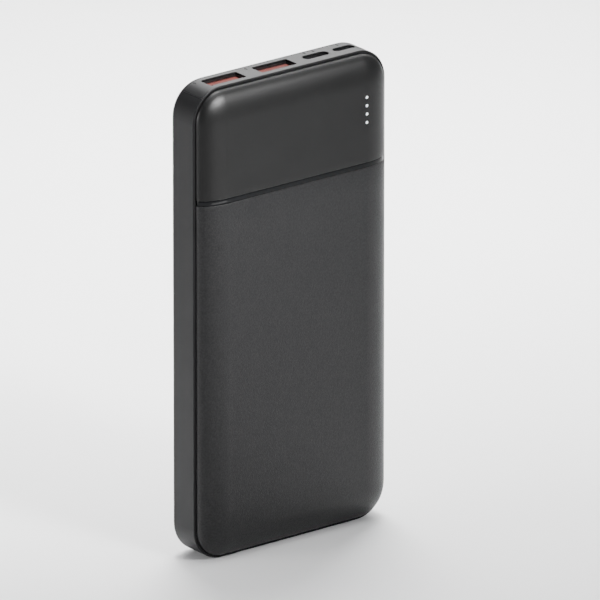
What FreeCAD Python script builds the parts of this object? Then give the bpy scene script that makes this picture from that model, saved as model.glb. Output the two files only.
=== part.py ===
import FreeCAD, Part
import math
import os

# Slim power bank standing upright on its bottom edge, in millimetres.
# +X is to the right seen from the front, the front cover faces -Y, and +Z is up.
# The origin is the middle of the bottom edge, half way through the thickness.

os.makedirs("parts", exist_ok=True)
V = FreeCAD.Vector

# ---------------------------------------------------------------- driving dimensions
HEIGHT = 144.0
WIDTH = 69.8
THICKNESS = 16.2
CORNER_R = 10.0                 # corners of the outline, seen from the front

COVER_INSET = 0.9               # step from the shell's outside to the cover's outside
FRONT_CROWN_DEPTH = 4.2         # the cover's edge rounds over this far
BACK_CROWN_IN = 5.2             # the back edge rounds over: inwards ...
BACK_CROWN_DEPTH = 3.0          # ... and along the thickness

SIDE_WALL = 1.8                 # rear shell, sides
BACK_WALL = 1.6                 # rear shell, back
COVER_WALL = 1.5                # front cover, everywhere
RIM_WALL = 0.78                 # thin rim round the cover's skirt, which fits in it with 0.12 to spare
SKIRT = 1.2                     # how far the cover's skirt goes into the shell
RIM_ROUND = 0.3                 # rounding of the rim's outer edge

GROOVE_Z = 110.4                # middle of the groove across the front
GROOVE_HEIGHT = 1.6
GROOVE_DEPTH = 0.7
STRIP_BELOW_SURFACE = 0.3       # how deep the glossy strip lies in its groove

LED_X = 25.0
LED_TOP_Z = 131.05
LED_PITCH = 2.54
LED_COUNT = 4
LIGHT_PIN_R = 0.42

PANEL_END_ANGLE = 48.0          # where the port panel ends on the corner arcs, degrees above level
PANEL_GAP = 0.08                # fine gap round the port panel

USB_A_X = {"left": -20.3, "right": -2.0}
USB_C_X = 13.1
MICRO_X = 23.5
PORT_Y = 0.75                   # middle of the sockets, behind the middle of the thickness
MICRO_Y = 0.9

BUTTON_Z = 124.0
BUTTON_LENGTH = 11.0
BUTTON_WIDTH = 3.4
BUTTON_GAP = 0.12               # clearance round the button in its slot
BUTTON_TRAVEL = 0.3

# ---------------------------------------------------------------- places worked out from them
FRONT_Y = -THICKNESS / 2
BACK_Y = THICKNESS / 2
SEAM_Y = FRONT_Y + FRONT_CROWN_DEPTH
SHELF_Y = SEAM_Y + SKIRT
COVER_INNER_Y = FRONT_Y + COVER_WALL
FLOOR_Y = BACK_Y - BACK_WALL
CORNER_X = WIDTH / 2 - CORNER_R
CORNER_Z = HEIGHT - CORNER_R
WALL_X = WIDTH / 2 - SIDE_WALL          # inside face of the rear shell's side walls
BUTTON_Y = (SEAM_Y + BACK_Y - BACK_CROWN_DEPTH) / 2
LED_Z = [LED_TOP_Z - i * LED_PITCH for i in range(LED_COUNT)]

# ---------------------------------------------------------------- sizes inside
BOARD_THICK = 1.2
BOARD_Y = -2.1                  # back face of the board, which carries the tall parts
BOARD_FRONT_Y = BOARD_Y - BOARD_THICK
BOARD_LEFT_X = -31.2
BOARD_RIGHT_X = 30.9
BOARD_LOW_Z = 113.0
BOARD_HIGH_Z = 140.2
BOARD_CORNER_R = 6.5

POSTS = [(-27.5, 116.3), (27.5, 116.3), (-29.3, 130.5), (29.2, 133.2)]
POST_R = 2.1
PILOT_R = 0.7
SCREW_R = 0.8
SCREW_LENGTH = 5.0
SCREW_HEAD_R = 1.6
SCREW_HEAD_HEIGHT = 1.0

SOCKET_LIP = 0.7                # wall left over the mouths of the sockets
USB_A_SIZE = (13.1, 5.7, 13.8)  # outside of the metal shell: wide, deep, long
USB_A_OPENING = (12.7, 5.4)
USB_A_METAL = 0.3
USB_A_TIP = 0.3                 # tongue tip below the shell's mouth
USB_C_SIZE = (8.94, 3.26, 7.3)
USB_C_OPENING = (8.8, 3.1)
MICRO_SIZE = (7.6, 2.7, 5.6)
MICRO_OPENING = (7.5, 2.6)
SMALL_METAL = 0.25

CELL_WIDTH = 63.0
CELL_THICK = 5.6
CELL_LOW_Z = 3.4
CELL_HIGH_Z = 107.0
CELL_CORNER_R = 6.0
CELL_EDGE_R = 2.0
TAPE_THICK = 0.2
BACK_CELL_Y = FLOOR_Y - TAPE_THICK - CELL_THICK
FRONT_CELL_Y = BACK_CELL_Y - TAPE_THICK - CELL_THICK
CELL_MIDDLE_Y = BACK_CELL_Y - TAPE_THICK / 2
GUARD_Z = 109.2                 # underside of the protection board
GUARD_THICK = 0.8
LEAD_R = 0.65
LEAD_X = 10.5
LEAD_BEND = 2.0


# ---------------------------------------------------------------- shared shapes
def box(x0, x1, y0, y1, z0, z1):
    """Box given by its low and high value on each axis."""
    return Part.makeBox(x1 - x0, y1 - y0, z1 - z0, V(x0, y0, z0))


def centred(x, y, z, size_x, size_y, size_z):
    """Box given by its middle and its size."""
    return Part.makeBox(size_x, size_y, size_z, V(x - size_x / 2, y - size_y / 2, z - size_z / 2))


def rod(x, z, radius, y0, y1):
    """Cylinder along Y."""
    return Part.makeCylinder(radius, y1 - y0, V(x, y0, z), V(0, 1, 0))


def plate(x0, x1, z0, z1, radius, y0, y1):
    """Plate in the XZ plane with rounded corners, from depth y0 to depth y1."""
    upright = box(x0 + radius, x1 - radius, y0, y1, z0, z1)
    level = box(x0, x1, y0, y1, z0 + radius, z1 - radius)
    corners = [(x, z) for x in (x0 + radius, x1 - radius) for z in (z0 + radius, z1 - radius)]
    rounds = [rod(x, z, radius, y0, y1) for x, z in corners]
    return upright.multiFuse([level] + rounds).removeSplitter()


def slot_bar(x, y, width, depth, radius, z0, z1):
    """Bar along Z with a rounded-rectangle section, centred on x and y."""
    bar = centred(x, y, (z0 + z1) / 2, width, depth, z1 - z0)
    upright = [e for e in bar.Edges if abs(e.tangentAt(e.FirstParameter).z) > 0.99]
    return bar.makeFillet(radius, upright)


def crown_profile(radius, y_end, y_tip, crown_in, crown_depth):
    """Half section of a crowned block: straight wall, then a quarter ellipse, then flat to the axis."""
    y_crown = y_tip + math.copysign(crown_depth, y_end - y_tip)
    middle = V(radius - crown_in, y_crown, 0)
    ellipse = Part.Ellipse(V(radius, y_crown, 0), V(radius - crown_in, y_tip, 0), middle)
    edges = [
        Part.LineSegment(V(0, y_end, 0), V(radius, y_end, 0)).toShape(),
        Part.LineSegment(V(radius, y_end, 0), V(radius, y_crown, 0)).toShape(),
        Part.ArcOfEllipse(ellipse, 0, math.pi / 2).toShape(),
        Part.LineSegment(V(0, y_tip, 0), V(0, y_end, 0)).toShape(),
    ]
    if radius - crown_in > 0.001:
        edges.insert(3, Part.LineSegment(V(radius - crown_in, y_tip, 0), V(0, y_tip, 0)).toShape())
    return Part.Face(Part.Wire(edges))


def crowned_block(inset, y_end, y_tip, crown_in, crown_depth):
    """The case's outline, moved in by inset, as a solid with one crowned face at y_tip."""
    radius = CORNER_R - inset
    profile = crown_profile(radius, y_end, y_tip, crown_in, crown_depth)
    span_x = 2 * CORNER_X
    span_z = HEIGHT - 2 * CORNER_R
    low_y, high_y = sorted((y_end, y_tip))
    # each quarter revolution starts at +X and turns towards -Z; each bar runs on from its corner
    places = [
        (0, V(CORNER_X, 0, CORNER_R), span_z),
        (90, V(-CORNER_X, 0, CORNER_R), span_x),
        (180, V(-CORNER_X, 0, CORNER_Z), span_z),
        (270, V(CORNER_X, 0, CORNER_Z), span_x),
    ]
    pieces = []
    for turn, place, length in places:
        for piece in (profile.revolve(V(0, 0, 0), V(0, 1, 0), 90), profile.extrude(V(0, 0, length))):
            piece.rotate(V(0, 0, 0), V(0, 1, 0), turn)
            piece.translate(place)
            pieces.append(piece)
    core = box(-CORNER_X, CORNER_X, low_y, high_y, CORNER_R, CORNER_Z)
    return core.multiFuse(pieces).removeSplitter()


def rounded_prism(inset, y0, y1):
    """The case's outline, moved in by inset, as a plain prism from y0 to y1."""
    half = WIDTH / 2 - inset
    return plate(-half, half, inset, HEIGHT - inset, CORNER_R - inset, y0, y1)


def front_band(depth, z0, z1):
    """Everything behind the cover's surface lowered by depth, between two heights."""
    long_axis = CORNER_R - COVER_INSET - depth
    short_axis = FRONT_CROWN_DEPTH - depth
    front = FRONT_Y + depth
    right = Part.Ellipse(V(CORNER_X + long_axis, SEAM_Y, 0), V(CORNER_X, front, 0), V(CORNER_X, SEAM_Y, 0))
    left = Part.Ellipse(V(-CORNER_X - long_axis, SEAM_Y, 0), V(-CORNER_X, front, 0), V(-CORNER_X, SEAM_Y, 0))
    edges = [
        Part.ArcOfEllipse(right, 0, math.pi / 2).toShape(),
        Part.LineSegment(V(CORNER_X, front, 0), V(-CORNER_X, front, 0)).toShape(),
        Part.ArcOfEllipse(left, 0, math.pi / 2).toShape(),
        Part.LineSegment(V(-CORNER_X - long_axis, SEAM_Y, 0), V(CORNER_X + long_axis, SEAM_Y, 0)).toShape(),
    ]
    assert short_axis > 0
    band = Part.Face(Part.Wire(Part.__sortEdges__(edges))).extrude(V(0, 0, z1 - z0))
    band.translate(V(0, 0, z0))
    return band


def tube_along(points, radius):
    """Round lead through straight runs joined by tangent arcs of the lead's bend radius."""
    start, corner, end = points
    before = (corner - start).normalize()
    after = (end - corner).normalize()
    arc_start = corner - before * LEAD_BEND
    arc_end = corner + after * LEAD_BEND
    middle = corner + (after - before).normalize() * LEAD_BEND * (math.sqrt(2) - 1)
    path = Part.Wire([
        Part.LineSegment(start, arc_start).toShape(),
        Part.Arc(arc_start, middle, arc_end).toShape(),
        Part.LineSegment(arc_end, end).toShape(),
    ])
    section = Part.Wire([Part.Circle(start, before, radius).toShape()])
    return path.makePipeShell([section], True, False)


# ---------------------------------------------------------------- case
def panel_wedge(gap):
    """Space of the port panel: between two radial planes at the top corners, front rim to back crown."""
    angle = math.radians(PANEL_END_ANGLE)
    reach = 2 * CORNER_R
    shift_x = gap * math.sin(angle)
    shift_z = gap * math.cos(angle)
    base = V(CORNER_X - shift_x, 0, CORNER_Z + shift_z)
    tip = base + V(math.cos(angle), 0, math.sin(angle)) * reach
    points = [base, tip, V(-tip.x, 0, tip.z), V(-base.x, 0, base.z), base]
    wedge = Part.Face(Part.makePolygon(points)).extrude(V(0, BACK_Y - BACK_CROWN_DEPTH - gap - SEAM_Y + 1, 0))
    wedge.translate(V(0, SEAM_Y - 1, 0))
    return wedge


def shell_ring():
    """Rear tray with its rim and rebate, before the port panel is parted from it."""
    outside = crowned_block(0, SEAM_Y, BACK_Y, BACK_CROWN_IN, BACK_CROWN_DEPTH)
    rim = [
        e for e in outside.Edges
        if abs(e.BoundBox.YMin - SEAM_Y) < 0.001 and abs(e.BoundBox.YMax - SEAM_Y) < 0.001
    ]
    outside = outside.makeFillet(RIM_ROUND, rim)
    cavity = crowned_block(SIDE_WALL, SEAM_Y - 1, FLOOR_Y, BACK_CROWN_IN - 0.8, BACK_CROWN_DEPTH - 0.8)
    rebate = rounded_prism(RIM_WALL, SEAM_Y - 1, SHELF_Y)
    return outside.cut(cavity).cut(rebate)


def clip_places():
    """Middle of each snap hook and the direction in which it points."""
    sides = [(side * WALL_X, z, side, 0) for side in (-1, 1) for z in (20, 58, 96)]
    bottom = [(x, SIDE_WALL, 0, -1) for x in (-15, 15)]
    return sides + bottom


def clip_box(x, z, out_x, out_z, length, inner, outer, y0, y1):
    """Box on the inside wall at a clip, from inner to outer, measured outwards from the wall's face."""
    if out_x:
        near, far = sorted((x + out_x * inner, x + out_x * outer))
        return box(near, far, y0, y1, z - length / 2, z + length / 2)
    near, far = sorted((z + out_z * inner, z + out_z * outer))
    return box(x - length / 2, x + length / 2, y0, y1, near, far)


def rear_shell():
    shell = shell_ring().cut(panel_wedge(0))
    posts = [rod(x, z, POST_R, BOARD_Y, FLOOR_Y + 0.5) for x, z in POSTS]
    ribs = [box(side * 27 - 6.2, side * 27 + 6.2, BOARD_Y, FLOOR_Y + 0.5, 110.8, 111.8) for side in (-1, 1)]
    shell = shell.multiFuse(posts + ribs)
    for x, z in POSTS:
        shell = shell.cut(rod(x, z, PILOT_R, BOARD_Y - 1, BOARD_Y + SCREW_LENGTH + 0.5))
    for x, z, out_x, out_z in clip_places():
        shell = shell.cut(clip_box(x, z, out_x, out_z, 6.4, -0.2, 0.5, -1.4, -0.4))
    return shell.cut(button_bar(BUTTON_GAP, WALL_X - 1, WIDTH / 2 + 1))


def port_panel():
    panel = shell_ring().common(panel_wedge(PANEL_GAP))
    lip_y = BACK_Y - BACK_CROWN_DEPTH
    web = box(-22, 22, lip_y - 1.1, lip_y - 0.1, 141.4, HEIGHT - SIDE_WALL + 0.2)
    lip = box(-22, 22, lip_y - 1.1, lip_y + 0.2, 140.6, 141.5)
    panel = panel.fuse(web).fuse(lip)
    pocket_top = HEIGHT - SOCKET_LIP
    pocket_low = 140.0
    pocket_play = 0.2
    for x in USB_A_X.values():
        wide, deep = USB_A_OPENING
        panel = panel.cut(slot_bar(x, PORT_Y, wide, deep, 0.5, pocket_low, HEIGHT + 1))
        wide = USB_A_SIZE[0] + pocket_play
        deep = USB_A_SIZE[1] + pocket_play
        panel = panel.cut(slot_bar(x, PORT_Y, wide, deep, 0.5, pocket_low, pocket_top))
    for x, y, opening, size in (
        (USB_C_X, PORT_Y, USB_C_OPENING, USB_C_SIZE),
        (MICRO_X, MICRO_Y, MICRO_OPENING, MICRO_SIZE),
    ):
        wide = size[0] + pocket_play
        deep = size[1] + pocket_play
        panel = panel.cut(slot_bar(x, y, wide, deep, 1.2, pocket_low, pocket_top))
        wide, deep = opening
        panel = panel.cut(slot_bar(x, y, wide, deep, deep / 2 - 0.05, pocket_low, HEIGHT + 1))
        # widening towards the outside, so that a plug finds its way in
        for step in (0.05, 0.1):
            rim = slot_bar(x, y, wide + 2 * step, deep + 2 * step, deep / 2, HEIGHT - 0.2 + step, HEIGHT + 1)
            panel = panel.cut(rim)
    return panel.removeSplitter()


def front_cover():
    crown_in = CORNER_R - COVER_INSET
    outside = crowned_block(COVER_INSET, SHELF_Y, FRONT_Y, crown_in, FRONT_CROWN_DEPTH)
    inset = COVER_INSET + COVER_WALL
    inside = crowned_block(inset, SHELF_Y + 1, COVER_INNER_Y, CORNER_R - inset, SEAM_Y - COVER_INNER_Y)
    cover = outside.cut(inside)
    low = GROOVE_Z - GROOVE_HEIGHT / 2
    high = GROOVE_Z + GROOVE_HEIGHT / 2
    around = box(-WIDTH, WIDTH, FRONT_Y - 1, SEAM_Y, low, high)
    cover = cover.cut(around.cut(front_band(GROOVE_DEPTH, low - 1, high + 1)))
    for z in LED_Z:
        cover = cover.cut(rod(LED_X, z, LIGHT_PIN_R + 0.03, FRONT_Y - 1, COVER_INNER_Y + 1))
    hooks = []
    for x, z, out_x, out_z in clip_places():
        hooks.append(clip_box(x, z, out_x, out_z, 6.0, -0.85, -0.1, SEAM_Y - 0.6, -0.5))
        hooks.append(clip_box(x, z, out_x, out_z, 6.0, -0.2, 0.35, -1.3, -0.5))
    return cover.multiFuse(hooks)


def accent_strip():
    low = GROOVE_Z - GROOVE_HEIGHT / 2
    high = GROOVE_Z + GROOVE_HEIGHT / 2
    return front_band(STRIP_BELOW_SURFACE, low, high).cut(front_band(GROOVE_DEPTH, low - 1, high + 1))


def light_guide():
    pins = [rod(LED_X, z, LIGHT_PIN_R, FRONT_Y + 0.02, BOARD_FRONT_Y - 0.8) for z in LED_Z]
    bar_low = LED_Z[-1] - 1.2
    bar_high = LED_Z[0] + 1.2
    bar = box(LED_X - 1.1, LED_X + 1.1, COVER_INNER_Y + 0.2, COVER_INNER_Y + 1.2, bar_low, bar_high)
    return bar.multiFuse(pins)


# ---------------------------------------------------------------- button and switch
SWITCH_MIDDLE_X = 28.9
SWITCH_SIZE = (3.0, 5.0, 7.0)
PLUNGER_R = 1.2
PLUNGER_END_X = 31.0
PLUNGER_GAP = 0.05


def button_bar(gap, x0, x1):
    """Round-ended bar along X, as large as the button's face with a gap all round."""
    radius = BUTTON_WIDTH / 2 + gap
    reach = BUTTON_LENGTH / 2 - BUTTON_WIDTH / 2
    ends = [
        Part.makeCylinder(radius, x1 - x0, V(x0, BUTTON_Y, BUTTON_Z + s * reach), V(1, 0, 0)) for s in (-1, 1)
    ]
    middle = box(x0, x1, BUTTON_Y - radius, BUTTON_Y + radius, BUTTON_Z - reach, BUTTON_Z + reach)
    return middle.multiFuse(ends).removeSplitter()


def power_button():
    flange_x0 = WALL_X - 1.1
    flange_x1 = WALL_X - 0.1
    key = button_bar(0, flange_x0, WIDTH / 2)
    face_edges = [e for e in key.Edges if e.BoundBox.XMin > WIDTH / 2 - 0.001]
    key = key.makeFillet(0.3, face_edges)
    flange = centred((flange_x0 + flange_x1) / 2, BUTTON_Y, BUTTON_Z, 1.0, 4.6, 13.0)
    stem_x0 = PLUNGER_END_X + PLUNGER_GAP
    stem_x1 = flange_x0 + 0.2
    stem = box(stem_x0, stem_x1, BUTTON_Y - 1, BUTTON_Y + 1, BUTTON_Z - 1.5, BUTTON_Z + 1.5)
    return key.fuse(flange).fuse(stem).removeSplitter()


def plunger_bore(radius, x0, x1):
    return Part.makeCylinder(radius, x1 - x0, V(x0, BUTTON_Y, BUTTON_Z), V(1, 0, 0))


def switch_body():
    wide, deep, long = SWITCH_SIZE
    body = centred(SWITCH_MIDDLE_X, BOARD_Y + deep / 2, BUTTON_Z, wide, deep, long)
    face = SWITCH_MIDDLE_X + wide / 2
    return body.cut(plunger_bore(PLUNGER_R + PLUNGER_GAP, face - 1.6, face + 1))


def switch_plunger():
    # the travel is left free behind the plunger
    start = SWITCH_MIDDLE_X + SWITCH_SIZE[0] / 2 - 1.6 + BUTTON_TRAVEL + 0.1
    return plunger_bore(PLUNGER_R, start, PLUNGER_END_X)


# ---------------------------------------------------------------- sockets
SOCKET_MOUTH_Z = HEIGHT - SOCKET_LIP - 0.1


def usb_a_shell(x):
    wide, deep, long = USB_A_SIZE
    low = SOCKET_MOUTH_Z - long
    outside = slot_bar(x, PORT_Y, wide, deep, 0.6, low, SOCKET_MOUTH_Z)
    inner_size = (wide - 2 * USB_A_METAL, deep - 2 * USB_A_METAL)
    shell = outside.cut(slot_bar(x, PORT_Y, *inner_size, 0.3, low - 1, SOCKET_MOUTH_Z + 1))
    for side in (-1, 1):
        window = centred(x + side * 3.2, PORT_Y, SOCKET_MOUTH_Z - 6.5, 1.6, deep + 2, 5.0)
        shell = shell.cut(window)
    return shell


def usb_a_tongue(x):
    wide, deep, long = USB_A_SIZE
    low = SOCKET_MOUTH_Z - long
    inner_wide = wide - 2 * USB_A_METAL - 0.02
    inner_deep = deep - 2 * USB_A_METAL - 0.02
    base = slot_bar(x, PORT_Y, inner_wide, inner_deep, 0.3, low, low + 3.8)
    back = PORT_Y + deep / 2 - USB_A_METAL - 0.75
    tongue = box(x - 5.55, x + 5.55, back - 1.84, back, low + 3.0, SOCKET_MOUTH_Z - USB_A_TIP)
    return base.fuse(tongue).removeSplitter()


def usb_a_contacts(x):
    low = SOCKET_MOUTH_Z - USB_A_SIZE[2] + 3.8
    high = SOCKET_MOUTH_Z - 1.3
    face = PORT_Y + USB_A_SIZE[1] / 2 - USB_A_METAL - 0.75 - 1.84
    thick = 0.2
    strips = []
    for place, width in ((-3.5, 1.3), (-1.0, 1.0), (1.0, 1.0), (3.5, 1.3)):
        strips.append(centred(x + place, face - thick / 2, (low + high) / 2, width, thick, high - low))
    return Part.makeCompound(strips)


def small_socket_shell(x, y, size, corner, y_legs):
    """Drawn metal shell of a small socket, on four legs that stand on the board."""
    wide, deep, long = size
    low = SOCKET_MOUTH_Z - long
    outside = slot_bar(x, y, wide, deep, corner, low, SOCKET_MOUTH_Z)
    inner_wide = wide - 2 * SMALL_METAL
    inner_deep = deep - 2 * SMALL_METAL
    inner = slot_bar(x, y, inner_wide, inner_deep, corner - SMALL_METAL, low - 1, SOCKET_MOUTH_Z + 1)
    shell = outside.cut(inner)
    legs = []
    for side in (-1, 1):
        edge = x + side * (wide / 2 - SMALL_METAL / 2)
        for z in (low + 1.0, SOCKET_MOUTH_Z - 4.0):
            legs.append(centred(edge, (y_legs + y) / 2, z, SMALL_METAL, y - y_legs, 1.1))
    return shell.multiFuse(legs)


def small_socket_tongue(x, y, size, corner, tongue_size, tongue_y, tip):
    """Black moulding of a small socket: a plug at its rear and the thin tongue."""
    wide, deep, long = size
    low = SOCKET_MOUTH_Z - long
    play = 2 * SMALL_METAL + 0.02
    base = slot_bar(x, y, wide - play, deep - play, corner - SMALL_METAL, low, low + 1.4)
    tongue = box(
        x - tongue_size[0] / 2, x + tongue_size[0] / 2,
        tongue_y - tongue_size[1] / 2, tongue_y + tongue_size[1] / 2,
        low + 1.0, SOCKET_MOUTH_Z - tip,
    )
    return base.fuse(tongue).removeSplitter()


def contact_row(x, face_y, side, count, pitch, width, z0, z1):
    """Row of flat contact strips on one face of a tongue; side is +1 or -1 along Y."""
    thick = 0.06
    y = face_y + side * thick / 2
    start = x - pitch * (count - 1) / 2
    return [centred(start + i * pitch, y, (z0 + z1) / 2, width, thick, z1 - z0) for i in range(count)]


USB_C_TONGUE = (6.69, 0.7)
MICRO_TONGUE = (3.7, 0.6)
MICRO_TONGUE_Y = MICRO_Y + 0.45


def usb_c_contacts():
    z0 = SOCKET_MOUTH_Z - 5.4
    z1 = SOCKET_MOUTH_Z - 1.2
    strips = []
    for side in (-1, 1):
        strips += contact_row(USB_C_X, PORT_Y + side * USB_C_TONGUE[1] / 2, side, 12, 0.5, 0.25, z0, z1)
    return Part.makeCompound(strips)


def micro_usb_contacts():
    face = MICRO_TONGUE_Y - MICRO_TONGUE[1] / 2
    z0 = SOCKET_MOUTH_Z - 3.9
    z1 = SOCKET_MOUTH_Z - 1.0
    return Part.makeCompound(contact_row(MICRO_X, face, -1, 5, 0.65, 0.35, z0, z1))


# ---------------------------------------------------------------- main board
def main_board():
    x0 = BOARD_LEFT_X
    x1 = BOARD_RIGHT_X
    board = plate(x0, x1, BOARD_LOW_Z, BOARD_HIGH_Z, BOARD_CORNER_R, BOARD_FRONT_Y, BOARD_Y)
    # only the upper corners are rounded
    lower_half = box(x0, x1, BOARD_FRONT_Y, BOARD_Y, BOARD_LOW_Z, BOARD_LOW_Z + BOARD_CORNER_R + 1)
    board = board.fuse(lower_half).removeSplitter()
    for x, z in POSTS:
        board = board.cut(rod(x, z, SCREW_R + 0.2, BOARD_FRONT_Y - 1, BOARD_Y + 1))
    return board


def on_board(x, z, size_x, size_z, height):
    """Box-shaped part on the board's back face."""
    return box(x - size_x / 2, x + size_x / 2, BOARD_Y, BOARD_Y + height, z - size_z / 2, z + size_z / 2)


def status_leds():
    return Part.makeCompound([centred(LED_X, BOARD_FRONT_Y - 0.3, z, 1.6, 0.6, 0.8) for z in LED_Z])


def power_inductor():
    core = on_board(-2.0, 121.0, 7.2, 7.2, 4.2)
    upright = [e for e in core.Edges if abs(e.tangentAt(e.FirstParameter).y) > 0.99]
    core = core.makeFillet(1.2, upright)
    return core.cut(rod(-2.0, 121.0, 2.0, BOARD_Y + 3.9, BOARD_Y + 5))


def charge_controller():
    return on_board(12.5, 127.0, 6.0, 6.0, 0.9)


def power_mosfets():
    return Part.makeCompound([on_board(6.0 + 4.4 * i, 119.6, 3.3, 3.3, 1.0) for i in range(4)])


def ceramic_capacitors():
    row = [on_board(-26.0 + 2.4 * i, 126.6, 1.6, 3.2, 1.5) for i in range(6)]
    column = [on_board(6.7, 123.6 + 2.4 * i, 3.2, 1.6, 1.5) for i in range(4)]
    return Part.makeCompound(row + column)


def polymer_capacitors():
    cans = []
    for x in (-21.9, -14.7):
        base = on_board(x, 119.5, 6.6, 6.6, 0.8)
        can = rod(x, 119.5, 3.1, BOARD_Y + 0.8, BOARD_Y + 5.8)
        cans.append(base.fuse(can))
    return Part.makeCompound(cans)


def chip_resistors():
    row = [on_board(9.0 + 1.6 * i, 132.6, 0.8, 1.6, 0.45) for i in range(8)]
    low_row = [on_board(-8.5 + 1.6 * i, 127.2, 0.8, 1.6, 0.45) for i in range(5)]
    return Part.makeCompound(row + low_row)


def board_screws():
    screws = []
    for x, z in POSTS:
        shank = rod(x, z, SCREW_R, BOARD_FRONT_Y, BOARD_Y + SCREW_LENGTH - BOARD_THICK)
        head = rod(x, z, SCREW_HEAD_R, BOARD_FRONT_Y - SCREW_HEAD_HEIGHT, BOARD_FRONT_Y)
        slot_y = BOARD_FRONT_Y - SCREW_HEAD_HEIGHT
        cross = [centred(x, slot_y, z, 2.0, 1.0, 0.5), centred(x, slot_y, z, 0.5, 1.0, 2.0)]
        screws.append(head.fuse(shank).cut(cross[0]).cut(cross[1]))
    return Part.makeCompound(screws)


# ---------------------------------------------------------------- battery
def pouch_cell(y0):
    half = CELL_WIDTH / 2
    body = plate(-half, half, CELL_LOW_Z, CELL_HIGH_Z, CELL_CORNER_R, y0, y0 + CELL_THICK)
    rims = [e for e in body.Edges if abs(e.BoundBox.YMax - e.BoundBox.YMin) < 0.001]
    return body.makeFillet(CELL_EDGE_R, rims)


def cell_tabs():
    tabs = []
    for y0 in (FRONT_CELL_Y, BACK_CELL_Y):
        middle = y0 + CELL_THICK / 2
        for x in (-9.0, 9.0):
            tabs.append(box(x - 2.5, x + 2.5, middle - 0.1, middle + 0.1, CELL_HIGH_Z, GUARD_Z))
    return Part.makeCompound(tabs)


def cell_tape():
    return box(-24, 24, BACK_CELL_Y - TAPE_THICK, BACK_CELL_Y, 12, 98)


def mounting_tape():
    return box(-24, 24, FLOOR_Y - TAPE_THICK, FLOOR_Y, 12, 98)


def cushion_pad():
    return box(-20, 20, COVER_INNER_Y + 0.05, FRONT_CELL_Y, 15, 95)


def protection_board():
    return box(-17, 17, FRONT_CELL_Y + 2, BACK_CELL_Y + 3.6, GUARD_Z, GUARD_Z + GUARD_THICK)


def protection_chips():
    top = GUARD_Z + GUARD_THICK
    return Part.makeCompound([centred(x, CELL_MIDDLE_Y, top + 0.45, 3.0, 3.0, 0.9) for x in (-5.0, 0.0, 5.0)])


def lead(x):
    top = GUARD_Z + GUARD_THICK
    corner = V(x, CELL_MIDDLE_Y, 116.4)
    return tube_along([V(x, CELL_MIDDLE_Y, top), corner, V(x, BOARD_Y, 116.4)], LEAD_R)


def thermistor():
    x = 18.6
    middle = V(x, CELL_MIDDLE_Y, CELL_HIGH_Z + 1.0)
    bead = Part.makeSphere(1.0, middle)
    return bead.fuse(tube_along([middle, V(x, CELL_MIDDLE_Y, 114.8), V(x, BOARD_Y, 114.8)], 0.5))


# ---------------------------------------------------------------- all nodes
NODES = {
    "rear_shell": rear_shell(),
    "port_panel": port_panel(),
    "front_cover": front_cover(),
    "accent_strip": accent_strip(),
    "light_guide": light_guide(),
    "power_button": power_button(),
    "switch_body": switch_body(),
    "switch_plunger": switch_plunger(),
    "usb_c_shell": small_socket_shell(USB_C_X, PORT_Y, USB_C_SIZE, USB_C_SIZE[1] / 2 - 0.05, BOARD_Y),
    "usb_c_tongue": small_socket_tongue(
        USB_C_X, PORT_Y, USB_C_SIZE, USB_C_SIZE[1] / 2 - 0.05, USB_C_TONGUE, PORT_Y, 0.6),
    "usb_c_contacts": usb_c_contacts(),
    "micro_usb_shell": small_socket_shell(MICRO_X, MICRO_Y, MICRO_SIZE, 1.2, BOARD_Y),
    "micro_usb_tongue": small_socket_tongue(
        MICRO_X, MICRO_Y, MICRO_SIZE, 1.2, MICRO_TONGUE, MICRO_TONGUE_Y, 0.6),
    "micro_usb_contacts": micro_usb_contacts(),
    "main_board": main_board(),
    "status_leds": status_leds(),
    "power_inductor": power_inductor(),
    "charge_controller": charge_controller(),
    "power_mosfets": power_mosfets(),
    "ceramic_capacitors": ceramic_capacitors(),
    "polymer_capacitors": polymer_capacitors(),
    "chip_resistors": chip_resistors(),
    "board_screws": board_screws(),
    "front_cell": pouch_cell(FRONT_CELL_Y),
    "back_cell": pouch_cell(BACK_CELL_Y),
    "cell_tabs": cell_tabs(),
    "cell_tape": cell_tape(),
    "mounting_tape": mounting_tape(),
    "cushion_pad": cushion_pad(),
    "protection_board": protection_board(),
    "protection_chips": protection_chips(),
    "positive_lead": lead(LEAD_X),
    "negative_lead": lead(-LEAD_X),
    "thermistor": thermistor(),
}
for place, x in USB_A_X.items():
    NODES["usb_a_" + place + "_shell"] = usb_a_shell(x)
    NODES["usb_a_" + place + "_tongue"] = usb_a_tongue(x)
    NODES["usb_a_" + place + "_contacts"] = usb_a_contacts(x)

for name, shape in NODES.items():
    shape.exportStep(os.path.join("parts", name + ".step"))
    state = "valid" if shape.isValid() else "NOT VALID"
    print(name, len(shape.Solids), "solid(s)", round(shape.Volume, 1), "mm3", state)
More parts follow.
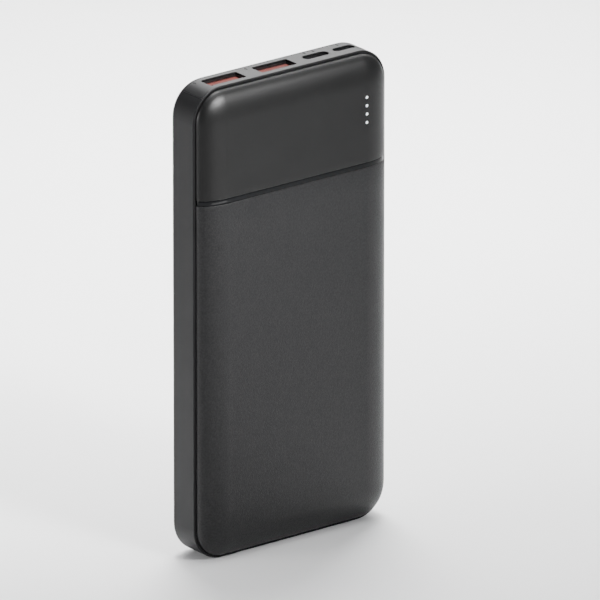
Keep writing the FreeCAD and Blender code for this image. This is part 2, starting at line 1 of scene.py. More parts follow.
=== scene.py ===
import math
import bmesh
import bpy
import numpy as np
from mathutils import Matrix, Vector


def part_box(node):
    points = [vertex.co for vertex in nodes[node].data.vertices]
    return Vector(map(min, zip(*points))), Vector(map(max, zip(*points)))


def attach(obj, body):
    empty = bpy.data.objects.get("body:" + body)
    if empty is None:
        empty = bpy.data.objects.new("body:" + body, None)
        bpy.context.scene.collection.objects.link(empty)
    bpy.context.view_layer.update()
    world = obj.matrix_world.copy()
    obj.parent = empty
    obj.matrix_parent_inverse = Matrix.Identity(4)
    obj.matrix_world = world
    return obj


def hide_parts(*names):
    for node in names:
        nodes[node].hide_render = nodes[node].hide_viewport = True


# A slim matt black power bank, standing on its bottom edge, put together from the back to the front.
# Metres in the scene. X is to the right seen from the front, the front faces -Y, and Z is up.
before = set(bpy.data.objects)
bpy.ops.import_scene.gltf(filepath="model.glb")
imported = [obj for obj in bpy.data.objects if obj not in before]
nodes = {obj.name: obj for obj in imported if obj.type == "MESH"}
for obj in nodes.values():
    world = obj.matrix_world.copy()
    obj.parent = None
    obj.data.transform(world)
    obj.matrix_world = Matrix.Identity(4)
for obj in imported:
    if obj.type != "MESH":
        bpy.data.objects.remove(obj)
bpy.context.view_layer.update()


# ---------------------------------------------------------------- rear shell
# The tray that carries everything: side walls, back and screw posts in one injection moulding of black
# ABS/PC, 1.8 mm thick. The tool is spark-eroded, so the skin has a fine even grain and hardly shines.
MM = 0.001
BLOTCH_EDGES = (0.35, 0.65)     # the noise values below and above which a blotch has its full colour
ROUGH_SPREAD = 0.05             # how far a moulded skin's roughness strays either way


def linear(code, alpha=1.0):
    """Linear values of an sRGB hex colour: the sRGB curve undone channel by channel."""
    channels = np.array([int(code[i:i + 2], 16) for i in (1, 3, 5)]) / 255
    curved = np.where(channels <= 0.04045, channels / 12.92, ((channels + 0.055) / 1.055) ** 2.4)
    return (*curved.tolist(), alpha)


def add(material, kind, inputs=None, **settings):
    """Add one shader node: settings are its properties, inputs are values or linked (node, output) pairs."""
    tree = material.node_tree
    node = tree.nodes.new("ShaderNode" + kind)
    for name, value in settings.items():
        setattr(node, name, value)
    for name, value in (inputs or {}).items():
        if isinstance(value, tuple) and isinstance(value[0], bpy.types.Node):
            tree.links.new(value[0].outputs[value[1]], node.inputs[name])
        else:
            node.inputs[name].default_value = value
    return node


def new_material(name):
    """An empty material, and its Object coordinates as the (node, output) that places its patterns."""
    material = bpy.data.materials.new(name)
    material.use_nodes = True
    material.node_tree.nodes.clear()
    return material, (add(material, "TexCoord"), "Object")


def blotches(material, place, size, dark, light):
    """Cloudy mix of two close colours in patches size metres wide, as batch and handling leave them."""
    cloud = add(material, "TexNoise", {"Vector": place, "Scale": 1 / size, "Detail": 3.0})
    ramp = add(material, "ValToRGB", {"Fac": (cloud, "Fac")})
    for stop, position, colour in zip(ramp.color_ramp.elements, BLOTCH_EDGES, (dark, light)):
        stop.position = position
        stop.color = linear(colour)
    return (ramp, "Color")


def spread(material, source, low, high):
    """A texture value between 0 and 1 carried to the range low to high."""
    return (add(material, "MapRange", {"Value": source, "To Min": low, "To Max": high}), "Result")


def surface(material, shader_inputs, height=None, relief=0.0):
    """Close a material: one shader and, with a height value, its relief in metres from top to bottom."""
    inputs = dict(shader_inputs)
    if height is not None:
        bump = add(material, "Bump", {"Height": height, "Distance": relief, "Strength": 1.0})
        inputs["Normal"] = (bump, "Normal")
    shader = add(material, "BsdfPrincipled", inputs)
    add(material, "OutputMaterial", {"Surface": (shader, "BSDF")})
    return material


def moulded(name, dark, light, grain, relief, rough, ior=1.5, coat=0.0):
    """Injection-moulded plastic: an eroded or polished skin, its grain size and relief in metres."""
    material, place = new_material(name)
    colour = blotches(material, place, 9 * MM, dark, light)
    skin = add(material, "TexNoise", {"Vector": place, "Scale": 1 / grain, "Detail": 2.0, "Roughness": 0.6})
    return surface(material, {
        "Base Color": colour,
        "Roughness": spread(material, (skin, "Fac"), rough - ROUGH_SPREAD, rough + ROUGH_SPREAD),
        "IOR": ior,
        "Coat Weight": coat,
    }, (skin, "Fac"), relief)


def finish_with(material, slot_name, *names):
    """Give CAD nodes their material; slot_name is not used."""
    for name in names:
        node = nodes[name]
        node.data.materials.clear()
        node.data.materials.append(material)


# spark-eroded black ABS/PC, one step finer than the front's grain: the eye gets an even, dry, dark grey. The
# low IOR stands for the weak shine that erosion leaves.
SHELL_GRAIN = 0.22 * MM
SHELL_RELIEF = 0.012 * MM
shell_abs = moulded("eroded_black_abs_pc", "#0E0E0F", "#121213", SHELL_GRAIN, SHELL_RELIEF, 0.48, ior=1.28)
finish_with(shell_abs, "shell_plastic", "rear_shell")


# ---------------------------------------------------------------- cells and their tapes
# Two flat lithium-polymer cells in aluminium laminate pouches, lying one on the other and stuck to the
# tray with white double-sided tape. A dark foam pad keeps the front cover from rattling against them.
CELL_EMBOSS = 1.4 * MM          # from dimple to dimple
CELL_CREASE = 7 * MM            # width of the soft creases


def pressed_foil(name, dark, light):
    """Aluminium laminate: satin metal under nylon, faintly dimpled where the press gripped it."""
    material, place = new_material(name)
    colour = blotches(material, place, 14 * MM, dark, light)
    dimple = add(material, "TexVoronoi", {"Vector": place, "Scale": 1 / CELL_EMBOSS})
    crease = add(material, "TexNoise", {"Vector": place, "Scale": 1 / CELL_CREASE, "Detail": 4.0})
    both = add(material, "Math", {0: (dimple, "Distance"), 1: (crease, "Fac")}, operation="ADD")
    return surface(material, {
        "Base Color": colour,
        "Metallic": 0.85,
        "Roughness": spread(material, (crease, "Fac"), 0.28, 0.42),
    }, (both, "Value"), 0.02 * MM)


def woven_or_foamed(name, dark, light, pore, relief, rough):
    """Soft sheet such as tape backing or foam: small cells of the given size that scatter the light."""
    material, place = new_material(name)
    colour = blotches(material, place, 6 * MM, dark, light)
    pores = add(material, "TexVoronoi", {"Vector": place, "Scale": 1 / pore})
    return surface(material, {
        "Base Color": colour,
        "Roughness": rough,
    }, (pores, "Distance"), relief)


# aluminium laminate pouch, pressed and sealed: a soft silver with a faint dimple
laminate_pouch = pressed_foil("aluminium_laminate_pouch", "#A9ABAF", "#BFC1C4")
finish_with(laminate_pouch, "pouch_foil", "front_cell", "back_cell")
# acrylic adhesive tape on a paper-like carrier: off-white, quite dull
carrier_tape = woven_or_foamed("white_carrier_tape", "#D6D2C4", "#E4E1D6", 0.5 * MM, 0.01 * MM, 0.7)
finish_with(carrier_tape, "tape", "cell_tape", "mounting_tape")
# closed-cell EVA foam, skived to thickness: charcoal, open pores on its cut face
skived_foam = woven_or_foamed("skived_eva_foam", "#26272A", "#33353A", 0.45 * MM, 0.08 * MM, 0.9)
finish_with(skived_foam, "foam", "cushion_pad")


# ---------------------------------------------------------------- tabs, guard board, leads and bead
# The cells' nickel tabs are spot-welded to a narrow protection board that stands across their top. Two
# PVC-covered leads and the thermistor, an epoxy bead on the cells' tape, run from there to the main board.
BRUSH_PITCH = 0.08 * MM
BRUSH_STRETCH = 14.0            # a tool line is this many times longer than wide
WEAVE_PITCH = 0.7 * MM
TRACK_PITCH = 4 * MM


def plain_metal(name, dark, light, rough_low, rough_high):
    """Rolled, drawn or plated metal: fine lines of the tool along Z, longer than wide by BRUSH_STRETCH."""
    material, place = new_material(name)
    drawn_out = add(material, "Mapping", {"Vector": place, "Scale": (1.0, 1.0, 1 / BRUSH_STRETCH)})
    lines = add(material, "TexNoise", {
        "Vector": (drawn_out, "Vector"),
        "Scale": 1 / BRUSH_PITCH,
        "Detail": 2.0,
    })
    return surface(material, {
        "Base Color": blotches(material, place, 4 * MM, dark, light),
        "Metallic": 1.0,
        "Roughness": spread(material, (lines, "Fac"), rough_low, rough_high),
    }, (lines, "Fac"), 0.002 * MM)


def circuit_laminate(name, dark, light):
    """Epoxy-glass board under solder mask: copper tracks show as slightly raised, lighter lines."""
    material, place = new_material(name)
    tracks = add(material, "TexBrick", {
        "Vector": place,
        "Color1": linear(dark),
        "Color2": linear(dark),
        "Mortar": linear(light),
        "Scale": 1 / TRACK_PITCH,
        "Mortar Size": 0.03,
    })
    weave = add(material, "TexNoise", {"Vector": place, "Scale": 1 / WEAVE_PITCH, "Detail": 1.0})
    return surface(material, {
        "Base Color": (tracks, "Color"),
        "Roughness": spread(material, (weave, "Fac"), 0.28, 0.4),
        "IOR": 1.55,
    }, (tracks, "Fac"), 0.02 * MM)


# pure nickel strip, rolled and spot-welded: warm light grey, half bright
nickel = plain_metal("rolled_nickel_strip", "#A8A498", "#BDB9AE", 0.25, 0.4)
finish_with(nickel, "nickel_strip", "cell_tabs")
# FR-4 glass epoxy under dark green solder mask: glossy, with tracks just visible
laminate = circuit_laminate("green_masked_fr4", "#123A24", "#1E5434")
finish_with(laminate, "board_laminate", "protection_board", "main_board")
# transfer-moulded epoxy with silica: near black, matt
epoxy_chip = moulded("transfer_moulded_epoxy", "#17181A", "#1E1F22", 0.1 * MM, 0.004 * MM, 0.6)
finish_with(epoxy_chip, "chip_black", "protection_chips", "charge_controller",
            "power_mosfets", "chip_resistors")
# extruded PVC insulation: saturated and slightly waxy
red_pvc = moulded("extruded_red_pvc", "#A01712", "#B5221B", 0.4 * MM, 0.003 * MM, 0.38)
black_pvc = moulded("extruded_black_pvc", "#121214", "#1A1A1C", 0.4 * MM, 0.003 * MM, 0.38)
finish_with(red_pvc, "red_insulation", "positive_lead")
finish_with(black_pvc, "black_insulation", "negative_lead")
# dipped epoxy bead: dark, wet-looking, with a soft uneven skin
bead_epoxy = moulded("dipped_black_epoxy", "#1A1512", "#241D18", 0.8 * MM, 0.02 * MM, 0.25, coat=0.5)
finish_with(bead_epoxy, "bead_resin", "thermistor")


# ---------------------------------------------------------------- main board and its parts
# The charging circuit on one board behind the front cover: coil, controller, transistors, capacitors and
# resistors on its back, the four charge lights on its front. Four self-tapping screws hold it to posts.

# pressed and sintered ferrite: charcoal, finely crystalline
sintered = moulded("sintered_ferrite", "#2B2B2D", "#3A3A3C", 0.12 * MM, 0.008 * MM, 0.65)
finish_with(sintered, "ferrite", "power_inductor")
# fired barium titanate ceramic: tan, smooth
fired = moulded("fired_barium_titanate", "#8A6A45", "#9C7B54", 0.2 * MM, 0.002 * MM, 0.45)
finish_with(fired, "ceramic", "ceramic_capacitors")
# drawn aluminium cans: bright satin silver
drawn_can = plain_metal("drawn_aluminium_can", "#B9BABC", "#CFD0D2", 0.22, 0.34)
finish_with(drawn_can, "capacitor_can", "polymer_capacitors")
# clear silicone over a blue chip and phosphor: creamy, glossy
cast_resin = moulded("cast_led_silicone", "#D9D6C2", "#E8E6D8", 0.5 * MM, 0.002 * MM, 0.2)
finish_with(cast_resin, "led_resin", "status_leds")
# zinc-plated steel screws, cold-headed: blue-grey and fairly bright
zinc = plain_metal("zinc_plated_steel", "#8F959B", "#A9AFB5", 0.25, 0.42)
finish_with(zinc, "screw_steel", "board_screws")


# ---------------------------------------------------------------- side switch and power button
# A side-push tactile switch on the board, its black plunger free to travel 0.3 mm, and the moulded key
# that reaches it through the right wall. The key is polished smoother than the shell.

# glass-filled nylon: dark grey, dry and even
switch_nylon = moulded("moulded_black_nylon", "#1B1B1D", "#252527", 0.15 * MM, 0.004 * MM, 0.5)
finish_with(switch_nylon, "switch_plastic", "switch_body", "switch_plunger")
# the key's ABS, half-polished tool: the same black with a soft sheen
key_abs = moulded("half_polished_black_abs", "#161718", "#1C1D1F", 0.3 * MM, 0.003 * MM, 0.42, ior=1.4)
finish_with(key_abs, "button_plastic", "power_button")


# ---------------------------------------------------------------- sockets
# Two USB-A sockets, one USB-C and one micro-USB, each a nickel-plated steel shell round a plastic tongue
# with gold-plated contacts. The USB-A tongues are moulded in orange, the small ones in black.

# nickel-plated steel, stamped and folded: neutral grey, half bright, its lines running the plug's way
stamped = plain_metal("nickel_plated_steel", "#7D7E80", "#97989A", 0.22, 0.38)
finish_with(stamped, "socket_metal", "usb_a_left_shell", "usb_a_right_shell",
            "usb_c_shell", "micro_usb_shell")
# glass-filled PBT in a deep red-orange: dull, slightly mottled by the fibres
FIBRE_MOTTLE = 0.3 * MM
orange_pbt = moulded("glass_filled_orange_pbt", "#4A150F", "#5A1D15",
                     FIBRE_MOTTLE, 0.006 * MM, 0.65, ior=1.25)
finish_with(orange_pbt, "orange_tongue", "usb_a_left_tongue", "usb_a_right_tongue")
# liquid-crystal polymer: dense black, faint flow marks
black_lcp = moulded("black_liquid_crystal_polymer", "#101113", "#18191B", 0.5 * MM, 0.004 * MM, 0.45)
finish_with(black_lcp, "black_tongue", "usb_c_tongue", "micro_usb_tongue")
# gold flash over nickel on copper alloy: pale gold, bright
gold_flash = plain_metal("gold_flashed_copper", "#C7A250", "#DDBB6C", 0.15, 0.28)
finish_with(gold_flash, "contact_metal", "usb_a_left_contacts", "usb_a_right_contacts",
            "usb_c_contacts", "micro_usb_contacts")


# ---------------------------------------------------------------- port panel
# The top wall with the four openings is a separate moulding in the shell's plastic, snapped in between the
# side walls. A fine parting line crosses each top corner.
finish_with(shell_abs, "shell_plastic", "port_panel")


# Beside each socket a small arrow is pad-printed in dull dark ink. It points backwards for a socket that
# gives power and forwards for one that takes it.
ARROW_LONG = 1.5
ARROW_WIDE = 0.9
ARROW_SHAFT = 0.14              # half the shaft's width, as a share of the arrow's width
ARROW_NECK = 0.05               # where the head starts, from the middle, as a share of its length
INK_THICK = 0.02
SMALL_MARKS_Y = 4.1             # the row of marks behind the two small sockets
PAIR_APART = 1.6                # the USB-C socket's two arrows stand this far either side of its middle
UP, DOWN = 1, -1
EDGE_ANGLE = 32.0               # an edge that turns by more than this is sharp
case_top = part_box("port_panel")[1].z / MM


def socket_middle(name):
    """Middle of a socket's metal shell in x, in millimetres."""
    low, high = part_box(name)
    return (low.x + high.x) / 2 / MM


def arrow(x, y, turn):
    """Top face of a printed arrow round (x, y), pointing backwards for turn +1 and forwards for -1.

    Its rows run from tail to tip at the places in along. In each row the points are at -1, 0 and 1 times
    half, which is the shaft's half width, then the head's, then nothing at the tip.
    """
    along = np.array([-0.5, ARROW_NECK, ARROW_NECK, 0.5]) * ARROW_LONG * turn
    half = np.array([ARROW_SHAFT, ARROW_SHAFT, 0.5, 0.0]) * ARROW_WIDE
    across = np.array([-1.0, 0.0, 1.0])
    return np.stack([
        x + across[None, :] * half[:, None],
        y + np.repeat(along[:, None], len(across), axis=1),
        np.full((len(along), len(across)), case_top + INK_THICK),
    ], axis=-1)


def grid_faces(rows, columns, keep=None):
    """Quads of a rows x columns grid of points, less those where keep is False."""
    index = np.arange(rows * columns).reshape(rows, columns)
    quads = np.stack([index[:-1, :-1], index[:-1, 1:], index[1:, 1:], index[1:, :-1]], axis=-1)
    return quads.reshape(-1, 4) if keep is None else quads[keep]


def piece_from(name, sheets, material, body, replaced=()):
    """One welded mesh from (points, faces) sheets in millimetres, smooth except at edges over EDGE_ANGLE."""
    points, faces, start = [], [], 0
    for sheet_points, sheet_faces in sheets:
        flat = sheet_points.reshape(-1, 3)
        points.append(flat)
        faces.append(sheet_faces + start)
        start += len(flat)
    mesh = bpy.data.meshes.new(name)
    mesh.from_pydata((np.concatenate(points) * MM).tolist(), [], np.concatenate(faces).tolist())
    welded = bmesh.new()
    welded.from_mesh(mesh)
    bmesh.ops.remove_doubles(welded, verts=welded.verts, dist=0.002 * MM)
    bmesh.ops.dissolve_degenerate(welded, edges=welded.edges, dist=0.001 * MM)
    bmesh.ops.recalc_face_normals(welded, faces=welded.faces)
    welded.to_mesh(mesh)
    welded.free()
    mesh.shade_smooth()
    mesh.set_sharp_from_angle(angle=math.radians(EDGE_ANGLE))
    mesh.materials.append(material)
    piece = bpy.data.objects.new(name, mesh)
    bpy.context.scene.collection.objects.link(piece)
    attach(piece, body)
    if replaced:
        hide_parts(*replaced)


port_marks = []
down_to_panel = np.array([0, 0, INK_THICK])
for x, y, turn in (
    (socket_middle("usb_a_left_shell") - 9.0, 2.6, UP),
    (socket_middle("usb_a_right_shell") - 8.2, 3.4, UP),
    (socket_middle("usb_c_shell") - PAIR_APART, SMALL_MARKS_Y, UP),
    (socket_middle("usb_c_shell") + PAIR_APART, SMALL_MARKS_Y, DOWN),
    (socket_middle("micro_usb_shell"), SMALL_MARKS_Y, DOWN),
):
    face = arrow(x, y, turn)
    ring = np.concatenate([face[:, 0], face[::-1, -1], face[:1, 0]])
    wall = np.stack([ring, ring - down_to_panel])
    port_marks += [(sheet, grid_faces(*sheet.shape[:2])) for sheet in (face, face - down_to_panel, wall)]
# two-part printing ink: darker than the top face's sheen, quite dead, so its IOR is very low
ink = moulded("dull_charcoal_pad_ink", "#0C0C0D", "#121213", 0.1 * MM, 0.002 * MM, 0.85, ior=1.12)
piece_from("port_mark_arrows", port_marks, ink, "case")


# ---------------------------------------------------------------- light guide
# One piece of milky polycarbonate behind the cover. Its four pins end flush in the front face as the charge
# lights: small, white, faintly blue dots.

# cloudy injection-moulded polycarbonate; its emission is a painted glow, since no lamp lights it from behind
milky, place = new_material("milky_polycarbonate")
haze = add(milky, "TexNoise", {"Vector": place, "Scale": 1 / (0.6 * MM), "Detail": 2.0})
surface(milky, {
    "Base Color": blotches(milky, place, 2 * MM, "#E2E6EE", "#F0F3F8"),
    "Roughness": spread(milky, (haze, "Fac"), 0.25, 0.4),
    "IOR": 1.58,
    "Subsurface Weight": 0.4,
    "Subsurface Radius": (0.0008, 0.0008, 0.001),
    "Subsurface Scale": 1.0,
    # painted glow: the pins give off their own light though no lamp stands behind them
    "Emission Color": linear("#E6EEFF"),
    "Emission Strength": 0.55,
})
finish_with(milky, "light_guide", "light_guide")


# ---------------------------------------------------------------- front cover
# The crowned front, snapped onto the tray: a 1.5 mm skin of black ABS/PC whose edge rounds over 4.2 mm.
# Above the groove it is nearly smooth, and below it is coarsely grained. Four round holes let the charge
# lights through.
cover_low, cover_high = (np.array(corner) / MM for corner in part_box("front_cover"))
strip_low, strip_high = (np.array(corner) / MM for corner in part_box("accent_strip"))
CROWN_IN = 9.1                  # the edge rounds over this far in from the outline, also the corners' radius
CROWN_DEPTH = 4.2               # and this far back from the front
COVER_WALL = 1.5
SKIRT = 1.2                     # how far the skirt reaches back behind the seam
GROOVE_DEPTH = 0.7
GROOVE_ROUND = 0.14             # rounding of the groove's two lips
LIGHT_X = 25.0
LIGHT_TOP = 131.05
LIGHT_PITCH = 2.54
LIGHT_COUNT = 4
HOLE_R = 0.45
HOLE_CELL = 0.9                 # half the square of skin that is laid out round each hole
HOLE_STEPS = 6                  # skin squares along each side of it
RING_STEPS = 4                  # rings of points from its square to the hole
SIDE_STEPS = 22                 # squares over the left and right crowns
END_STEPS = 20                  # and over the bottom and top ones
FLAT_STEPS = 12                 # columns of squares over the flat middle
LOWER_STEPS = 16                # rows of squares from the bottom crown to the groove
UPPER_STEPS = 6                 # and from the groove to the lights
LIP_STEPS = 5
seam_y = cover_low[1] + CROWN_DEPTH
shelf_y = seam_y + SKIRT


def crowned(x, z, sink):
    """Point of the cover's skin. x and z run over the outline box, sink is how far the skin is lowered.

    Within CROWN_IN of the outline the skin is a quarter ellipse, and at the corners a quarter ellipsoid:
    with s and t the shares of CROWN_IN by which x and z pass the flat middle,
    X = middle x + r cos(asin t) s, Z = middle z + r t, Y = seam - d cos(asin t) cos(asin s).
    """
    radius = CROWN_IN - sink
    middle_x = np.clip(x, cover_low[0] + CROWN_IN, cover_high[0] - CROWN_IN)
    middle_z = np.clip(z, cover_low[2] + CROWN_IN, cover_high[2] - CROWN_IN)
    s = np.clip((x - middle_x) / CROWN_IN, -1, 1)
    t = np.clip((z - middle_z) / CROWN_IN, -1, 1)
    cos_t = np.sqrt(1 - t ** 2)
    cos_s = np.sqrt(1 - s ** 2)
    depth = (CROWN_DEPTH - sink) * cos_t * cos_s
    return np.stack([middle_x + radius * cos_t * s, seam_y - depth, middle_z + radius * t], axis=-1)


def between(start, end, count):
    """The points that divide start to end into count even steps, without start and end themselves."""
    return np.linspace(start, end, count + 1)[1:-1]


def crown_steps(count):
    """Shares of CROWN_IN from the flat's edge, 0, to the outline, 1, at even angles round the ellipse."""
    return np.sin(np.linspace(0, math.pi / 2, count + 1))


# columns: left crown, flat middle, the squares round the lights, right crown
left_crown = cover_low[0] + CROWN_IN * (1 - crown_steps(SIDE_STEPS)[::-1])
right_crown = cover_high[0] - CROWN_IN * (1 - crown_steps(SIDE_STEPS))
light_left, light_right = LIGHT_X - HOLE_CELL, LIGHT_X + HOLE_CELL
columns_x = np.concatenate([
    left_crown,
    between(left_crown[-1], light_left, FLAT_STEPS),
    np.linspace(light_left, light_right, HOLE_STEPS + 1),
    right_crown[right_crown > light_right + 0.2],
])
# rows: bottom crown, lower panel, the groove with its rounded lips, upper panel with the lights, top crown
lip = np.linspace(0, math.pi / 2, LIP_STEPS + 1)
lip_in = GROOVE_ROUND * (1 - np.cos(lip))
lip_down = GROOVE_ROUND * np.sin(lip)
light_z = LIGHT_TOP - LIGHT_PITCH * np.arange(LIGHT_COUNT)[::-1]
light_rows = [np.linspace(z - HOLE_CELL, z + HOLE_CELL, HOLE_STEPS + 1) for z in light_z]
bottom_crown = cover_low[2] + CROWN_IN * (1 - crown_steps(END_STEPS)[::-1])
top_crown = cover_high[2] - CROWN_IN * (1 - crown_steps(END_STEPS))
groove_z = np.concatenate([
    strip_low[2] - GROOVE_ROUND + lip_down, [strip_low[2], strip_high[2]],
    strip_high[2] + GROOVE_ROUND - lip_down[::-1],
])
groove_sink = np.concatenate([lip_in, [GROOVE_DEPTH, GROOVE_DEPTH], lip_in[::-1]])
rows_z = np.concatenate([
    bottom_crown,
    between(bottom_crown[-1], groove_z[0], LOWER_STEPS),
    groove_z,
    between(groove_z[-1], light_rows[0][0], UPPER_STEPS),
    *light_rows,
    top_crown,
])
groove_start = len(bottom_crown) + LOWER_STEPS - 1
rows_sink = np.zeros(len(rows_z))
rows_sink[groove_start:groove_start + len(groove_z)] = groove_sink


# The grid of the whole cover: the outline's columns are repeated at the seam and at the skirt's back edge,
# and its rows at the skirt's back edge.
grid_x = np.concatenate([columns_x[:1], columns_x[:1], columns_x, columns_x[-1:], columns_x[-1:]])
grid_z = np.concatenate([rows_z[:1], rows_z, rows_z[-1:]])


def cover_skin(sink_rows):
    """The skin and its skirt as one grid, sunk by a row's own share of sink_rows.

    The repeated columns at the seam lie at the least sink: a small ledge that closes the groove's ends.
    The outermost rows and columns are pushed back to the skirt's edge.
    """
    sink = np.concatenate([sink_rows[:1], sink_rows, sink_rows[-1:]])
    sinks = np.repeat(sink[:, None], len(grid_x), axis=1)
    sinks[:, [0, 1, -2, -1]] = sink_rows.min()
    points = crowned(grid_x[None, :], grid_z[:, None], sinks)
    points[[0, -1], :, 1] = shelf_y
    points[:, [0, -1], 1] = shelf_y
    return points


def hole_block():
    """True for the quads of the cover's grid that lie in one of the squares round the lights."""
    middle_x = (grid_x[:-1] + grid_x[1:]) / 2
    middle_z = (grid_z[:-1] + grid_z[1:]) / 2
    beside = np.abs(middle_x - LIGHT_X) < HOLE_CELL
    level = (np.abs(middle_z[:, None] - light_z[None, :]) < HOLE_CELL).any(axis=1)
    return level[:, None] & beside[None, :]


def ring_round_hole(z, sink):
    """The square of skin round one light: straight lines from the points on its edge to the round hole."""
    side = np.linspace(-HOLE_CELL, HOLE_CELL, HOLE_STEPS + 1)[:-1]
    edge = np.full(HOLE_STEPS, HOLE_CELL)
    square = np.concatenate([
        np.stack([side, -edge], 1), np.stack([edge, side], 1),
        np.stack([-side, edge], 1), np.stack([-edge, -side], 1),
    ])
    square = np.concatenate([square, square[:1]])
    circle = square / np.linalg.norm(square, axis=1, keepdims=True) * HOLE_R
    share = np.linspace(0, 1, RING_STEPS)[:, None, None]
    around = square[None] * (1 - share) + circle[None] * share
    return crowned(LIGHT_X + around[..., 0], z + around[..., 1], np.full(around.shape[:2], sink))


outer = cover_skin(rows_sink)
inner = cover_skin(np.full(len(rows_z), COVER_WALL))
solid_part = ~hole_block()
cover_sheets = [(skin, grid_faces(*skin.shape[:2], keep=solid_part)) for skin in (outer, inner)]
for edge in (np.s_[0], np.s_[-1], np.s_[:, 0], np.s_[:, -1]):
    rim = np.stack([outer[edge], inner[edge]])
    cover_sheets.append((rim, grid_faces(*rim.shape[:2])))
for z in light_z:
    rings = [ring_round_hole(z, 0.0), ring_round_hole(z, COVER_WALL)]
    rings.append(np.stack([rings[0][-1], rings[1][-1]]))
    cover_sheets += [(ring, grid_faces(*ring.shape[:2])) for ring in rings]

# the same ABS/PC as the shell: coarse eroded grain below the groove, drawn a little coarser than it is so
# that it shows, and a finer, smoother one above it
COARSE_GRAIN = 0.42 * MM
FINE_GRAIN = 0.16 * MM
FINE_SHARE = 0.25               # the fine grain's relief as a share of the coarse one's
COVER_RELIEF = 0.08 * MM
GRAIN_BLOTCH = 0.5 * MM
cover_abs, place = new_material("two_grain_black_abs_pc")
height_above = (add(cover_abs, "SeparateXYZ", {"Vector": place}), "Z")
groove_height = float(strip_low[2]) * MM
below = (add(cover_abs, "Math", {0: height_above, 1: groove_height}, operation="LESS_THAN"), "Value")
coarse = add(cover_abs, "TexNoise", {
    "Vector": place,
    "Scale": 1 / COARSE_GRAIN,
    "Detail": 3.0,
    "Roughness": 0.7,
})
fine = add(cover_abs, "TexNoise", {"Vector": place, "Scale": 1 / FINE_GRAIN, "Detail": 2.0})
fine_part = (add(cover_abs, "Math", {0: (fine, "Fac"), 1: FINE_SHARE}, operation="MULTIPLY"), "Value")
grain = add(cover_abs, "Mix", {0: below, 2: fine_part, 3: (coarse, "Fac")})
tone = add(cover_abs, "Mix", {
    0: below,
    6: blotches(cover_abs, place, 9 * MM, "#060606", "#090909"),
    7: blotches(cover_abs, place, GRAIN_BLOTCH, "#0C0C0D", "#1A1A1B"),
}, data_type="RGBA")
surface(cover_abs, {
    "Base Color": (tone, 2),
    "Roughness": spread(cover_abs, (grain, 0), 0.38, 0.52),
    "IOR": 1.37,
}, (grain, 0), COVER_RELIEF)
piece_from("front_cover_skin", cover_sheets, cover_abs, "case", ["front_cover"])


# ---------------------------------------------------------------- accent strip
# A narrow bar of glossy black acrylic glued into the groove, a little below the skin. It bends with the crown
# at both ends, where it catches the light.
STRIP_BELOW = 0.16              # at its middle
STRIP_BULGE = 0.1               # how much lower its long edges lie, all of it close to them
STRIP_PLAY = 0.02               # the gap at its long edges
STRIP_STEPS = 16                # squares across it
half_height = (strip_high[2] - strip_low[2]) / 2 - STRIP_PLAY
strip_middle_z = (strip_low[2] + strip_high[2]) / 2
# its section runs round the bar: up from the groove's floor, over the face, and back along the floor. With u
# from -1 to 1 over the face, the face lies STRIP_BELOW + STRIP_BULGE u^4 below the skin.
across = np.sin(np.linspace(-math.pi / 2, math.pi / 2, STRIP_STEPS + 1))
face_sink = STRIP_BELOW + STRIP_BULGE * across ** 4
section_z = np.concatenate([[-half_height], half_height * across, [half_height], [-half_height]])
section_sink = np.concatenate([[GROOVE_DEPTH], face_sink, [GROOVE_DEPTH, GROOVE_DEPTH]])
bar_sinks = np.repeat(section_sink[None, :], len(columns_x), axis=0)
bar = crowned(columns_x[:, None], strip_middle_z + section_z[None, :], bar_sinks)
bar_ends = [np.stack([bar[end], np.broadcast_to(bar[end].mean(axis=0), bar[end].shape)]) for end in (0, -1)]
strip_sheets = [(sheet, grid_faces(*sheet.shape[:2])) for sheet in (bar, *bar_ends)]
# cast acrylic with a polished face: deep black and mirror-bright, with faint handling haze
SMEAR_WIDTH = 5 * MM
acrylic, place = new_material("polished_black_acrylic")
smear = add(acrylic, "TexNoise", {"Vector": place, "Scale": 1 / SMEAR_WIDTH, "Detail": 4.0})
surface(acrylic, {
    "Base Color": blotches(acrylic, place, 12 * MM, "#08090A", "#0E0F11"),
    "Roughness": spread(acrylic, (smear, "Fac"), 0.08, 0.16),
    "IOR": 1.28,
})
piece_from("accent_strip_bar", strip_sheets, acrylic, "case", ["accent_strip"])


# ---------------------------------------------------------------- floor, lights and camera
# A pale sheet of paper under and behind the power bank, soft lights, and a long lens from the front left, a
# little above. None of it belongs to the object.
FLOOR_HALF = 3.0
floor_mesh = bpy.data.meshes.new("paper_floor")
corners = np.array([[-1, -1, 0], [1, -1, 0], [1, 1, 0], [-1, 1, 0]]) * FLOOR_HALF
floor_mesh.from_pydata(corners.tolist(), [], [(0, 1, 2, 3)])
floor = bpy.data.objects.new("paper_floor", floor_mesh)
bpy.context.scene.collection.objects.link(floor)
paper, place = new_material("matt_white_paper")
PAPER_FIBRE = 1.5 * MM
fibre = add(paper, "TexNoise", {"Vector": place, "Scale": 1 / PAPER_FIBRE, "Detail": 2.0})
surface(paper, {
    "Base Color": blotches(paper, place, 400 * MM, "#F2F2F2", "#F6F6F6"),
    "Roughness": spread(paper, (fibre, "Fac"), 0.85, 0.95),
})
floor_mesh.materials.append(paper)

AIM = Vector((0.544, -8.1, 74.49)) * MM
LENS = 916.7                    # millimetres, on a sensor 36 mm wide
SENSOR = 36.0
CLIP = (0.1, 20.0)
DISTANCE = 4.4
AZIMUTH = math.radians(37.9)
ELEVATION = math.radians(19.97)


def direction(azimuth, elevation):
    """Unit vector towards a place at that bearing, counted from the front to the left, and height."""
    return Vector((
        -math.sin(azimuth) * math.cos(elevation),
        -math.cos(azimuth) * math.cos(elevation),
        math.sin(elevation),
    ))


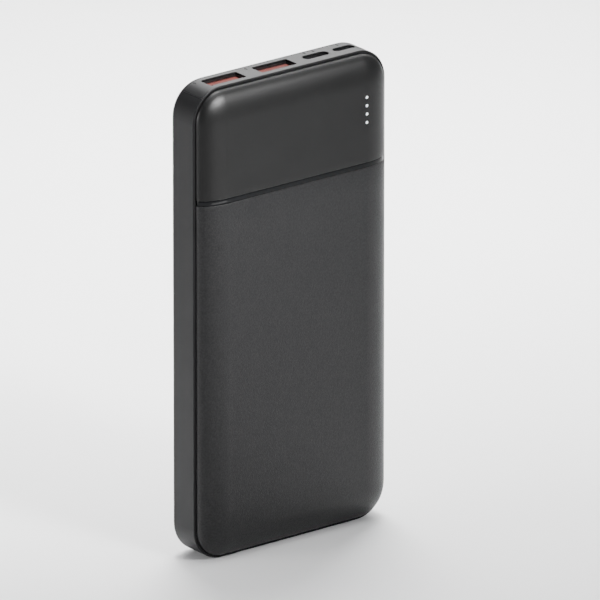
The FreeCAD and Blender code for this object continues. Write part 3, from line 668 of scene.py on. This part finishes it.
def soft_light(name, azimuth, elevation, distance, size, power, aim=AIM, beam=180.0):
    """Soft box at a bearing, height and beam angle in degrees, turned to the point it aims at."""
    lamp = bpy.data.lights.new(name, "AREA")
    lamp.shape = "RECTANGLE"
    lamp.size, lamp.size_y = size
    lamp.spread = math.radians(beam)
    lamp.energy = power
    holder = bpy.data.objects.new(name, lamp)
    towards = direction(math.radians(azimuth), math.radians(elevation))
    holder.location = aim + towards * distance
    holder.rotation_euler = towards.to_track_quat("Z", "Y").to_euler()
    holder.visible_camera = False
    bpy.context.scene.collection.objects.link(holder)


TOP_LEFT_CORNER = Vector((-0.025, -0.008, 0.135))
FLOOR_BEHIND = Vector((0.17, 0.22, 0.0))
FLOOR_IN_FRONT = Vector((0.047, -0.28, 0.002))
soft_light("back_right_box", -142.0, 34.0, 1.0, (0.8, 0.5), 13.0)
# a narrow beam, so that the gleam on the corner doesn't light the floor as well
soft_light("front_top_box", -12.0, 35.0, 0.35, (0.12, 0.12), 0.18, aim=TOP_LEFT_CORNER, beam=30.0)
soft_light("overhead_box", -120.0, 82.0, 1.3, (1.2, 1.2), 14.0)
# brightens the floor behind without lighting what the front reflects
soft_light("backdrop_box", -142.0, 80.0, 0.9, (0.4, 0.4), 2.3, aim=FLOOR_BEHIND, beam=42.0)
# a small lit card that lies in front, facing up: it shows only as a short gleam in the bend of the strip
soft_light("front_card", 0.0, -90.0, 0.0, (0.19, 0.06), 0.24, aim=FLOOR_IN_FRONT)
soft_light("left_box", 112.0, 8.0, 1.0, (0.3, 0.25), 6.0)

ROOM_STRENGTH = 0.34
world = bpy.data.worlds.new("pale_room")
world.use_nodes = True
room = world.node_tree.nodes["Background"]
room.inputs["Color"].default_value = linear("#F4F6FA")
room.inputs["Strength"].default_value = ROOM_STRENGTH
bpy.context.scene.world = world

lens = bpy.data.cameras.new("camera")
lens.lens = LENS
lens.sensor_width = SENSOR
lens.clip_start, lens.clip_end = CLIP
camera = bpy.data.objects.new("camera", lens)
look = direction(AZIMUTH, ELEVATION)
camera.location = AIM + look * DISTANCE
camera.rotation_euler = look.to_track_quat("Z", "Y").to_euler()
bpy.context.scene.collection.objects.link(camera)
bpy.context.scene.camera = camera
